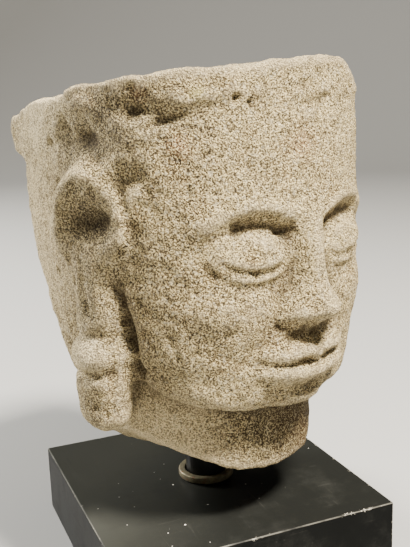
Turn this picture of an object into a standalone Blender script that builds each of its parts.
"""A goddess's head in sandstone, broken from its figure and shown on a rod and a black block.

+Z is up and the block's front looks along -Y. The origin is the middle of the block's underside,
straight below the rod. Lengths are in metres. The head is carved facing -Y, with the figure's right
ear at -X, in carver's units: each is a hundredth of the head's height, measured up from the lowest
edge of the broken neck and out from the rod's axis. It is then brought to its size, turned on the
rod and set above the block.

Run it with blender --background --python part.py, or from Blender's text editor.
"""

from math import pi, radians

import bmesh
import bpy
import numpy as np
from mathutils import Matrix, Vector, noise

# Driving dimensions of the mount
PLINTH_SIDE = 0.080
PLINTH_HEIGHT = 0.021
PLINTH_EDGE = 0.0006
ROD_DIAMETER = 0.012
ROD_IN_PLINTH = 0.014
ROD_IN_STONE = 0.026
COLLAR_WIDTH = 0.002
COLLAR_THICKNESS = 0.002
COLLAR_ROUNDING = 0.0004
ROUND_SIDES = 40
GAP = 0.0003
ROD_HOLE = ROD_DIAMETER + 2 * GAP

# Driving dimensions of the stone: its height, how far it hangs clear of the block, and its turn
HEAD_HEIGHT = 0.111
HEAD_CLEARANCE = 0.010
HEAD_TURN = radians(18)

# The face in carver's units: three equal thirds down and five eye widths across
HAIRLINE = 92.0
CHIN = 17.0
FACE_WIDTH = 72.0
THIRD = (HAIRLINE - CHIN) / 3
BROW = HAIRLINE - THIRD
NOSE_BASE = BROW - THIRD
MOUTH = NOSE_BASE - THIRD / 3
EYE_X = FACE_WIDTH / 5
EYE_LINE = BROW - 0.3 * THIRD

# The ears in carver's units: their middle from front to back, their tops, rings and pendants' ends
EAR_X = 35.0
EAR_Y = -5.5
EAR_TOP = 79.0
RING_UP = 36.0
PENDANT_END = 17.4

# A stub of broken carving at the back of the right side
KNOB = (-29.4, 31.0, 84.0)

# How much stone each break takes off, more than there is
BREAK_DEPTH = 60.0

# Fineness of the clay, and of the solid made from it
CLAY_VOXEL = 1.0
STONE_TRIANGLES = 7800


def smooth_step(low, high, value):
    """0 below low, 1 above high, and a smooth rise between them."""
    t = np.clip((value - low) / (high - low), 0, 1)
    return t * t * (3 - 2 * t)


def mound(across, up, middle, reach):
    """A round-topped swelling of height 1 at middle that is almost gone at reach, as (across, up)."""
    return np.exp(-2.5 * (((across - middle[0]) / reach[0]) ** 2 + ((up - middle[1]) / reach[1]) ** 2))


def smooth_path(points, steps=8):
    """A smooth curve through the points, with that many steps between each two."""
    p = np.array(points, float)
    p = np.vstack([2 * p[0] - p[1], p, 2 * p[-1] - p[-2]])
    t = np.linspace(0, 1, steps, endpoint=False)[:, None]
    parts = [
        0.5 * (2 * b + (c - a) * t + (2 * a - 5 * b + 4 * c - d) * t**2 + (3 * b - a - 3 * c + d) * t**3)
        for a, b, c, d in zip(p, p[1:], p[2:], p[3:])
    ]
    return np.vstack([*parts, p[-2:-1]])


def mirrored(points):
    """A path given from the middle to one side, run from the other side right across."""
    return [(-x, z) for x, z in reversed(points[1:])] + points


def stroke(across, up, points, width, taper=0.2):
    """A chisel stroke along a path: 1 on it, fading to 0 at width, and thinning towards both ends."""
    path = smooth_path(points)
    nearest = np.full(across.shape, np.inf)
    place = np.zeros(across.shape)
    for i, (start, end) in enumerate(zip(path, path[1:])):
        run = end - start
        t = np.clip(((across - start[0]) * run[0] + (up - start[1]) * run[1]) / (run @ run), 0, 1)
        distance = np.hypot(across - start[0] - t * run[0], up - start[1] - t * run[1])
        closer = distance < nearest
        nearest = np.where(closer, distance, nearest)
        place = np.where(closer, (i + t) / (len(path) - 1), place)
    fade = smooth_step(0, taper, place) * smooth_step(0, taper, 1 - place)
    return np.exp(-2.5 * (nearest / width) ** 2) * fade


def rough(points, size, depth, seed):
    """Seeded noise of that depth, with lumps of about that size, at each point."""
    offset = Vector((seed * 17.3, seed * -9.1, seed * 4.7))
    return np.array([depth * noise.fractal(Vector(p) / size + offset, 1.0, 2.0, 3) for p in points])


def add_object(name, mesh, collection):
    """A new object that holds the closed bmesh, with its faces turned outwards."""
    data = bpy.data.meshes.new(name)
    bmesh.ops.recalc_face_normals(mesh, faces=mesh.faces)
    mesh.to_mesh(data)
    mesh.free()
    thing = bpy.data.objects.new(name, data)
    collection.objects.link(thing)
    return thing


def bake(thing):
    """Turn the object's modifiers into its mesh."""
    evaluated = thing.evaluated_get(bpy.context.evaluated_depsgraph_get())
    baked = bpy.data.meshes.new_from_object(evaluated)
    thing.modifiers.clear()
    thing.data = baked


def points_and_normals(thing):
    """The mesh's points and their outward directions, as two arrays."""
    count = len(thing.data.vertices)
    points = np.empty(count * 3)
    normals = np.empty(count * 3)
    thing.data.vertices.foreach_get("co", points)
    thing.data.vertices.foreach_get("normal", normals)
    return points.reshape(-1, 3), normals.reshape(-1, 3)


def move_points(thing, points):
    """Put the mesh's points at these places."""
    thing.data.vertices.foreach_set("co", points.ravel())
    thing.data.update()


def loft(name, collection, rings, columns, place):
    """A closed shell over rings, with a pole at each end. place(ring, bearing) gives each point."""
    mesh = bmesh.new()
    bearings = np.linspace(0, 2 * pi, columns, endpoint=False)
    grid = [[mesh.verts.new(place(r, b)) for b in bearings] for r in np.linspace(0, 1, rings)[1:-1]]
    low = mesh.verts.new(place(0.0, 0.0))
    high = mesh.verts.new(place(1.0, 0.0))
    for i in range(columns):
        j = (i + 1) % columns
        mesh.faces.new((low, grid[0][j], grid[0][i]))
        mesh.faces.new((high, grid[-1][i], grid[-1][j]))
        for below, above in zip(grid, grid[1:]):
            mesh.faces.new((below[i], below[j], above[j], above[i]))
    return add_object(name, mesh, collection)


def egg(name, collection, middle, radii, lean=0.0):
    """A ball stretched to its radii and leaned about X."""
    mesh = bmesh.new()
    shape = Matrix.Rotation(lean, 4, "X") @ Matrix.Diagonal((*radii, 1))
    bmesh.ops.create_uvsphere(mesh, u_segments=40, v_segments=24, radius=1)
    mesh.transform(Matrix.Translation(middle) @ shape)
    return add_object(name, mesh, collection)


def taper(name, collection, middle, radii, height, stretch=1.0):
    """A standing round bar with a lower and an upper radius, stretched along Y."""
    mesh = bmesh.new()
    bmesh.ops.create_cone(
        mesh, cap_ends=True, segments=40, radius1=radii[0], radius2=radii[1], depth=height
    )
    mesh.transform(Matrix.Translation(middle) @ Matrix.Diagonal((1, stretch, 1, 1)))
    return add_object(name, mesh, collection)


def skull(collection):
    """The bare block of the head: broad, fairly flat in front, with a full rounded jaw."""
    squareness = 2.4
    jaw_rounding = 9.5
    top = 108.0
    levels = (0, 8, 18, 31, 43, 58, 75, 91)
    widths = (27.5, 32.2, 34.8, 36.0, 36.5, 36.5, 36.2, 36.0)
    fronts = (34.6, 36.0, 37.0, 37.7, 38.2, 38.4, 37.8, 37.2)

    def place(ring, bearing):
        up = ring**1.3 * (top - CHIN)
        closing = np.sqrt(1 - (1 - min(up / jaw_rounding, 1)) ** 2) * (ring < 1)
        c, s = np.cos(bearing), np.sin(bearing)
        x = np.interp(up, levels, widths) * closing * np.sign(c) * abs(c) ** (2 / squareness)
        depth = np.interp(up, levels, fronts) if s < 0 else 48.5
        y = depth * closing * np.sign(s) * abs(s) ** (2 / squareness)
        low = CHIN - 1 + 10 * smooth_step(-34, 4, y)
        return Vector((x, y, low + up * (top - low) / (top - CHIN)))

    return loft("skull", collection, 64, 112, place)


def neck(collection):
    """The neck: a slightly waisted column a little in front of the rod."""
    radius, middle_x, middle_y, bottom, top = 26.8, -0.9, -2.4, -10.0, 44.0

    def place(ring, bearing):
        spread = radius * (1 + 0.2 * (ring - 0.45) ** 2) * (0 < ring < 1)
        up = bottom + (top - bottom) * ring
        return Vector((middle_x + spread * np.cos(bearing), middle_y + spread * np.sin(bearing), up))

    return loft("neck", collection, 26, 64, place)


def ear_masses(collection, side):
    """One ear's plate, long lobe, ring and pendant, and the stone left standing behind them."""
    x = side * EAR_X
    plate_up = (EAR_TOP + 54) / 2
    lobe_up, lobe_height = (RING_UP + 62) / 2, 62 - RING_UP
    pendant_low, pendant_high = PENDANT_END + 2.5, RING_UP - 1.0
    pendant_up, pendant_height = (pendant_low + pendant_high) / 2, pendant_high - pendant_low
    outer, inner, y = x + side * 0.8, x - side * 0.8, EAR_Y - 0.1
    return [
        egg("ear", collection, (outer, EAR_Y, plate_up), (5.0, 12.2, EAR_TOP - plate_up), 0.1),
        taper("lobe", collection, (inner, y, lobe_up), (4.9, 5.3), lobe_height, 1.45),
        egg("ring", collection, (x, y, RING_UP), (5.8, 9.1, 4.5)),
        taper("pendant", collection, (x, y, pendant_up), (5.3, 6.3), pendant_height, 1.33),
        egg("pendant_end", collection, (x, y - 0.8, PENDANT_END + 3.8), (5.2, 6.3, 4.4)),
        egg("web", collection, (side * 25, 1, 30), (9.5, 9, 15)),
        egg("nape", collection, (side * 24, 8, 38), (11, 12, 18)),
    ]


def face_relief(x, z):
    """How far the carved face stands out from the bare block, for a point (x, z) seen from in front."""
    side = np.abs(x)
    up = (z - NOSE_BASE) / (BROW - NOSE_BASE)

    # Brow: one calm arch on each side, and the hollow under it
    brow = [(3.0, BROW - 2.6), (8, BROW + 0.6), (15, BROW + 2.0), (23, BROW + 0.2), (30, BROW - 4.6)]
    under = [(4.5, EYE_LINE + 2.2), (9, EYE_LINE + 5.0), (15, EYE_LINE + 6.2), (22, EYE_LINE + 4.4)]
    relief = 1.4 * stroke(side, z, brow, 3.4)
    relief -= 1.6 * stroke(side, z, under, 4.8)
    relief -= 2.4 * mound(side, z, (EYE_X, EYE_LINE - 0.5), (12.5, 8.6))
    relief -= 1.1 * mound(side, z, (6.6, EYE_LINE + 0.8), (4.2, 7.0))

    # Nose: a ridge that widens downwards, with soft wings
    ridge = 7.6 - 5.4 * np.clip(up, 0, 1.1)
    ridge *= smooth_step(NOSE_BASE - 2.0, NOSE_BASE + 3.6, z) * smooth_step(1.25, 0.8, up)
    half_width = 3.6 + 2.2 * np.clip(1 - up, 0, 1) ** 2
    relief += ridge * np.exp(-((side / half_width) ** 2.4))
    relief += 1.8 * mound(x, z, (0, NOSE_BASE + 4.0), (4.6, 4.6))
    relief += 3.2 * mound(side, z, (6.0, NOSE_BASE + 3.6), (3.8, 4.0))
    relief -= 0.9 * mound(side, z, (3.2, NOSE_BASE + 0.2), (2.0, 1.6))

    # Eyes: full and long under lowered lids
    ball = 1 - ((side - EYE_X - 0.2) / 10.2) ** 2 - ((z - EYE_LINE + 0.7) / 6.0) ** 2
    relief += 3.3 * np.clip(ball, 0, 1) ** 0.75
    crease = [(6.6, EYE_LINE + 0.4), (10.5, EYE_LINE + 3.2), (EYE_X + 0.6, EYE_LINE + 4.2)]
    crease += [(19, EYE_LINE + 3.2), (23, EYE_LINE + 0.4)]
    lashes = [(5.8, EYE_LINE - 2.0), (10.2, EYE_LINE - 3.3), (EYE_X + 0.3, EYE_LINE - 3.7)]
    lashes += [(18.7, EYE_LINE - 3.0), (23.4, EYE_LINE - 0.9)]
    relief -= 0.5 * stroke(side, z, crease, 1.2)
    relief += 0.6 * stroke(side, z, [(a, b + 0.9) for a, b in lashes], 1.4)
    relief -= 1.1 * stroke(side, z, [(a, b - 0.5) for a, b in lashes], 1.2)
    relief += 0.5 * stroke(side, z, [(a, b - 2.0) for a, b in lashes], 1.4)

    # Mouth: a soft swelling, two full lips and a quiet line between them
    relief += 3.0 * mound(x, z, (0, MOUTH), (19, 11))
    upper = mirrored([(0, MOUTH + 2.0), (3.4, MOUTH + 2.7), (8.5, MOUTH + 2.0), (15, MOUTH + 0.8)])
    lower = mirrored([(0, MOUTH - 2.9), (5, MOUTH - 2.8), (10, MOUTH - 1.7), (14.4, MOUTH)])
    line = mirrored([(0, MOUTH - 0.3), (3.8, MOUTH + 0.1), (9.5, MOUTH - 0.1), (15.6, MOUTH + 0.8)])
    relief += 2.4 * stroke(x, z, upper, 2.7, 0.22)
    relief += 2.7 * stroke(x, z, lower, 3.4, 0.24)
    relief -= 2.0 * stroke(x, z, line, 1.3, 0.08)
    relief -= 0.9 * mound(side, z, (16.4, MOUTH + 1.0), (2.6, 2.6))
    relief -= 0.7 * mound(x, z, (0, NOSE_BASE - 2.8), (1.8, 2.4))
    relief -= 1.8 * mound(x, z, (0, MOUTH - 7.4), (10, 3.2))

    # Chin, cheeks and the soft fold beside the nose
    relief += 3.4 * mound(x, z, (0, CHIN + 6), (10, 6.5))
    relief += 2.2 * mound(side, z, (20, NOSE_BASE + 4), (13, 12))
    fold = [(9.5, NOSE_BASE + 3.5), (12.5, NOSE_BASE - 2), (16.5, MOUTH + 2)]
    relief -= 0.7 * stroke(side, z, fold, 3.2)
    return relief


def ear_relief(y, z):
    """How far the carving of an ear stands out from its plate, for a point seen from the side."""
    rim = [(-16, 75.0), (-12, 77.2), (-6, 77.0), (-1.5, 74.2), (1.0, 69), (1.8, 62), (1.6, 55), (0.6, 48)]
    relief = 1.8 * stroke(y, z, rim, 3.4, 0.12)
    relief -= 5.6 * mound(y, z, (-11.5, 67.0), (7.6, 6.2))
    relief -= 3.2 * mound(y, z, (-5.0, 64.0), (6.5, 8.0))
    relief += 1.3 * stroke(y, z, [(-16.5, 66), (-18.5, 71), (-21.0, 76)], 2.6, 0.25)
    relief -= 0.9 * stroke(y, z, [(-6.5, 58), (-6.0, 50), (-7.0, 43)], 2.6, 0.3)
    relief -= 2.3 * mound(y, z, (-10.5, 60.0), (8.0, 6.5))
    groove = [(-12.0, 56), (-12.4, 52), (-13.3, 47), (-14.0, 42), (-13.9, 36), (-13.4, 29), (-12.8, 20)]
    relief -= 3.2 * stroke(y, z, groove, 1.9, 0.14)
    relief -= 1.9 * stroke(y, z, [(-17, 33.0), (-7, 31.4), (3, 32.2)], 1.7, 0.1)
    relief -= 0.9 * stroke(y, z, [(-16, 40.8), (-7, 40.6), (2, 40.0)], 1.7, 0.1)
    return relief


def hair_relief(points):
    """The hair's low step over the forehead and temples, with the wear along it."""
    x, y, z = points.T
    side = np.abs(x)
    line = HAIRLINE - 1.0 * smooth_step(14, 30, side)
    over = smooth_step(line - 0.9, line + 1.2, z) * (0.35 + 0.65 * smooth_step(16, 27, side))
    temple = smooth_step(-25.5, -22.0, y) * smooth_step(20, 28, side) * smooth_step(76, 81, z)
    relief = 1.2 * np.maximum(over, temple)
    relief -= 3.0 * (side > 24) * mound(y, z, (-6.5, 84.4), (12.5, 6.4))
    relief -= 1.4 * (x < -20) * mound(y, z, (31.5, 76.5), (3.6, 2.8))
    relief -= 1.8 * (x < -18) * mound(y, z, (-20.5, 90.2), (5.0, 3.2))
    return relief


def carve(clay):
    """Carve the face, ears and hair into the joined masses."""
    points, normals = points_and_normals(clay)
    x, y, z = points.T
    front = smooth_step(0.05, 0.45, -normals[:, 1]) * (y < -8)
    points[:, 1] -= front * smooth_step(35, 27, np.abs(x)) * face_relief(x, z)
    sideways = smooth_step(0.25, 0.7, np.abs(normals[:, 0])) * (np.abs(x) > 24)
    points[:, 0] += np.sign(x) * sideways * ear_relief(y, z)
    points += normals * hair_relief(points)[:, None]
    move_points(clay, points)


def weather(clay):
    """The slow unevenness of worn sandstone all over."""
    points, normals = points_and_normals(clay)
    wear = rough(points, 16, 0.55, 3) + rough(points, 6, 0.22, 5)
    move_points(clay, points + normals * wear[:, None])


def break_cutter(name, collection, height, seed, depth):
    """A thick sheet whose two faces, at height(x, y) and above, are rough like split stone."""
    reach, step = 112.0, 2.2
    count = int(2 * reach / step)
    mesh = bmesh.new()
    bmesh.ops.create_grid(mesh, x_segments=count, y_segments=count, size=reach)
    points = [v.co for v in mesh.verts]
    lumps = rough(points, 15, depth, seed) + rough(points, 5, 0.4 * depth, seed + 1)
    for vertex, lump in zip(mesh.verts, lumps):
        vertex.co.z = height(vertex.co.x, vertex.co.y) + lump
    raised = bmesh.ops.extrude_face_region(mesh, geom=list(mesh.faces), use_keep_orig=True)["geom"]
    upper = [part for part in raised if isinstance(part, bmesh.types.BMVert)]
    bmesh.ops.translate(mesh, vec=(0, 0, BREAK_DEPTH), verts=upper)
    return add_object(name, mesh, collection)


def breaks(collection):
    """The three breaks: across the top, down the back and round the neck."""

    def top_height(x, y):
        back = max(y + 36, 0)
        corner = np.clip(0.77 * x - 0.64 * y - 32, 0, 10)
        return 99.8 + 0.045 * x - 0.05 * back - 0.0014 * back**2 - 0.2 * corner**2

    def back_height(x, up):
        slope = 11.5 + 0.42 * max(up - 24, 0) - 0.1 * max(24 - up, 0)
        return slope + 5.0 * (1 - (x / 34) ** 2)

    def neck_height(x, y):
        right, left = np.clip(5.5 - x, 0, 34), np.clip(x - 5.5, 0, 16)
        return 4.4 + 0.0003 * right**3 + 0.0024 * left**3 - 0.08 * max(y + 28, 0)

    top = break_cutter("top_break", collection, top_height, 11, 0.9)
    back = break_cutter("back_break", collection, back_height, 23, 1.5)
    back.data.transform(Matrix(((1, 0, 0, 0), (0, 0, 1, 0), (0, 1, 0, 0), (0, 0, 0, 1))))
    back.data.flip_normals()
    under = break_cutter("neck_break", collection, neck_height, 37, 1.0)
    under.data.transform(Matrix.Translation((0, 0, -BREAK_DEPTH)))
    return top, back, under


def subtract(thing, cutter):
    """Cut the cutter out of the object."""
    cut = thing.modifiers.new("cut", "BOOLEAN")
    cut.operation = "DIFFERENCE"
    cut.solver = "EXACT"
    cut.object = cutter
    bake(thing)


def remesh(thing, voxel):
    """Knead the object into one even skin."""
    modifier = thing.modifiers.new("skin", "REMESH")
    modifier.mode = "VOXEL"
    modifier.voxel_size = voxel
    bake(thing)


def soften(thing, rounds, factor):
    """Rub down the whole surface."""
    modifier = thing.modifiers.new("wear", "SMOOTH")
    modifier.iterations = rounds
    modifier.factor = factor
    bake(thing)


def join(things, name):
    """One object with the meshes of all these, whose own objects go."""
    mesh = bmesh.new()
    for thing in things:
        mesh.from_mesh(thing.data)
    collection = things[0].users_collection[0]
    for thing in things:
        bpy.data.objects.remove(thing)
    return add_object(name, mesh, collection)


def bar(name, collection, diameter, bottom, top):
    """An upright round bar on the rod's axis."""
    mesh = bmesh.new()
    bmesh.ops.create_cone(
        mesh, cap_ends=True, segments=ROUND_SIDES, radius1=diameter / 2, radius2=diameter / 2,
        depth=top - bottom,
    )
    mesh.transform(Matrix.Translation((0, 0, (bottom + top) / 2)))
    return add_object(name, mesh, collection)


def as_cutter(thing, cutters):
    """Keep the object as a cutter that is neither shown nor built."""
    for collection in thing.users_collection:
        collection.objects.unlink(thing)
    cutters.objects.link(thing)
    thing.hide_render = True
    thing.display_type = "WIRE"


def stone_head(parts, cutters, rod_top):
    """The head: masses joined, carved, weathered, broken, brought to size and drilled for the rod."""
    knob = egg("knob", parts, KNOB, (2.6, 4.8, 6.0))
    masses = [skull(parts), neck(parts), knob, *ear_masses(parts, -1), *ear_masses(parts, 1)]
    clay = join(masses, "stone_head")
    remesh(clay, CLAY_VOXEL)
    soften(clay, 6, 0.5)
    carve(clay)
    weather(clay)
    for cutter in breaks(cutters):
        subtract(clay, cutter)
        bpy.data.objects.remove(cutter)
    remesh(clay, CLAY_VOXEL)
    soften(clay, 2, 0.4)
    decimate = clay.modifiers.new("facets", "DECIMATE")
    decimate.ratio = STONE_TRIANGLES / sum(len(p.vertices) - 2 for p in clay.data.polygons)
    bake(clay)
    size = Matrix.Scale(HEAD_HEIGHT / 100, 4)
    place = Matrix.Translation((0, 0, PLINTH_HEIGHT + HEAD_CLEARANCE)) @ Matrix.Rotation(HEAD_TURN, 4, "Z")
    clay.data.transform(place @ size)
    socket = bar("socket", cutters, ROD_HOLE, PLINTH_HEIGHT, rod_top + GAP)
    as_cutter(socket, cutters)
    subtract(clay, socket)
    return clay


def plinth_block(parts, cutters):
    """The square block, with eased edges and the rod's hole from above."""
    mesh = bmesh.new()
    bmesh.ops.create_cube(mesh, size=1)
    mesh.transform(Matrix.Diagonal((PLINTH_SIDE, PLINTH_SIDE, PLINTH_HEIGHT, 1)))
    mesh.transform(Matrix.Translation((0, 0, PLINTH_HEIGHT / 2)))
    block = add_object("plinth_block", mesh, parts)
    bevel = block.modifiers.new("eased_edges", "BEVEL")
    bevel.width = PLINTH_EDGE
    bevel.segments = 3
    hole = bar(
        "rod_hole", cutters, ROD_HOLE,
        PLINTH_HEIGHT - ROD_IN_PLINTH - GAP, PLINTH_HEIGHT + ROD_IN_PLINTH,
    )
    as_cutter(hole, cutters)
    cut = block.modifiers.new("rod_hole", "BOOLEAN")
    cut.object = hole
    return block


def mount_collar(parts, cutters):
    """The flat metal ring that lies on the block round the rod."""
    bottom = PLINTH_HEIGHT + GAP
    ring = bar("mount_collar", parts, ROD_HOLE + 2 * COLLAR_WIDTH, bottom, bottom + COLLAR_THICKNESS)
    bevel = ring.modifiers.new("rounding", "BEVEL")
    bevel.width = COLLAR_ROUNDING
    bevel.segments = 3
    hole = bar(
        "collar_hole", cutters, ROD_HOLE,
        bottom - COLLAR_THICKNESS, bottom + 2 * COLLAR_THICKNESS,
    )
    as_cutter(hole, cutters)
    cut = ring.modifiers.new("collar_hole", "BOOLEAN")
    cut.object = hole
    return ring


def finish(thing, colour, roughness, metallic=0.0):
    """Give the object its own material and smooth shading."""
    material = bpy.data.materials.new(thing.name)
    material.use_nodes = True
    shader = material.node_tree.nodes["Principled BSDF"]
    shader.inputs["Base Color"].default_value = (*colour, 1)
    shader.inputs["Roughness"].default_value = roughness
    shader.inputs["Metallic"].default_value = metallic
    thing.data.materials.clear()
    thing.data.materials.append(material)
    thing.data.shade_smooth()
    thing.data.set_sharp_from_angle(angle=radians(35))


def main():
    """Build the head and its mount."""
    for thing in list(bpy.data.objects):
        bpy.data.objects.remove(thing)
    parts = bpy.data.collections.new("goddess_head_sculpture")
    cutters = bpy.data.collections.new("cutters")
    bpy.context.scene.collection.children.link(parts)
    bpy.context.scene.collection.children.link(cutters)
    rod_top = PLINTH_HEIGHT + HEAD_CLEARANCE + ROD_IN_STONE
    finish(stone_head(parts, cutters, rod_top), (0.33, 0.27, 0.19), 0.92)
    rod = bar("mount_rod", parts, ROD_DIAMETER, PLINTH_HEIGHT - ROD_IN_PLINTH, rod_top)
    finish(rod, (0.012, 0.012, 0.012), 0.35)
    finish(mount_collar(parts, cutters), (0.16, 0.10, 0.05), 0.45, 0.9)
    finish(plinth_block(parts, cutters), (0.010, 0.011, 0.011), 0.3)


main()
